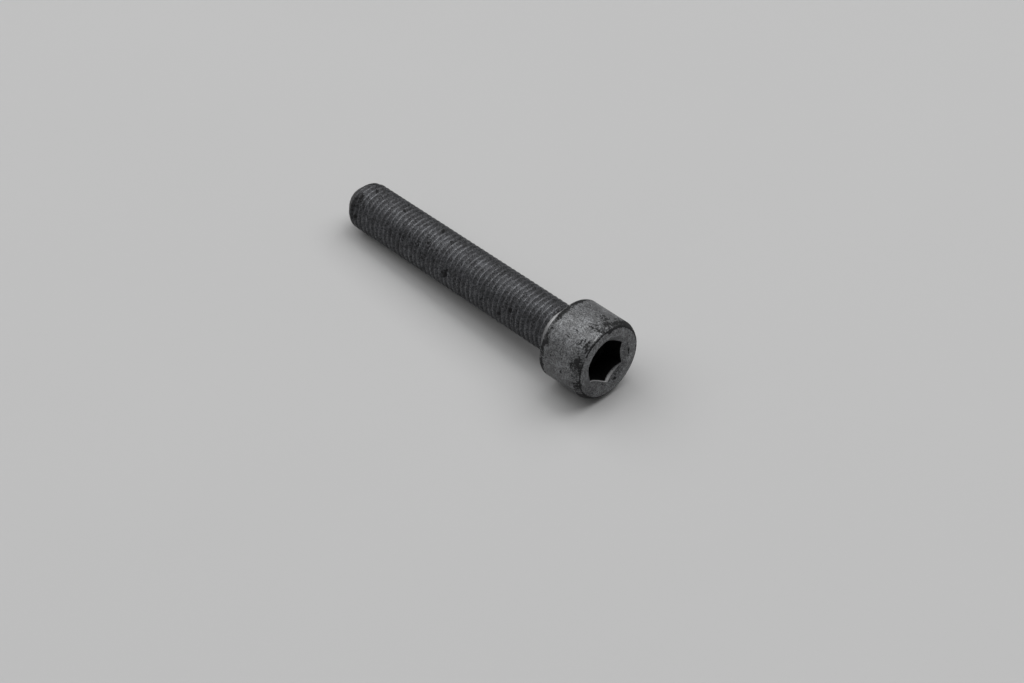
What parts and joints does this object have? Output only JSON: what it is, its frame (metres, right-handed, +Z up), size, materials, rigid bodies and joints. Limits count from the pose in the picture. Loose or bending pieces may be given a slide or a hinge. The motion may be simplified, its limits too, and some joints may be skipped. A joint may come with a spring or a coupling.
{
  "type": "hexagon socket head cap screw",
  "caption": "Cap screw with a cylindrical head, a countersunk hexagon socket, a plain neck, a fine right-hand thread up to the neck and a rounded point.",
  "frame": {"origin": "centre of the bearing face under the head, on the screw's axis", "axes": "the screw lies as it rests on a flat floor, on the rim of its bearing face and on its point; +Z is up, +X runs level from the point to the head, and the axis rises 3.06 degrees towards the head, in the XZ plane"},
  "size_m": [0.0704, 0.016, 0.0165],
  "materials": {
    "coated_steel": "matte grey zinc-flake coating on steel, worn dark along the edges"
  },
  "bodies": {
    "root": {"cap_screw": "coated_steel"}
  },
  "joints": []
}
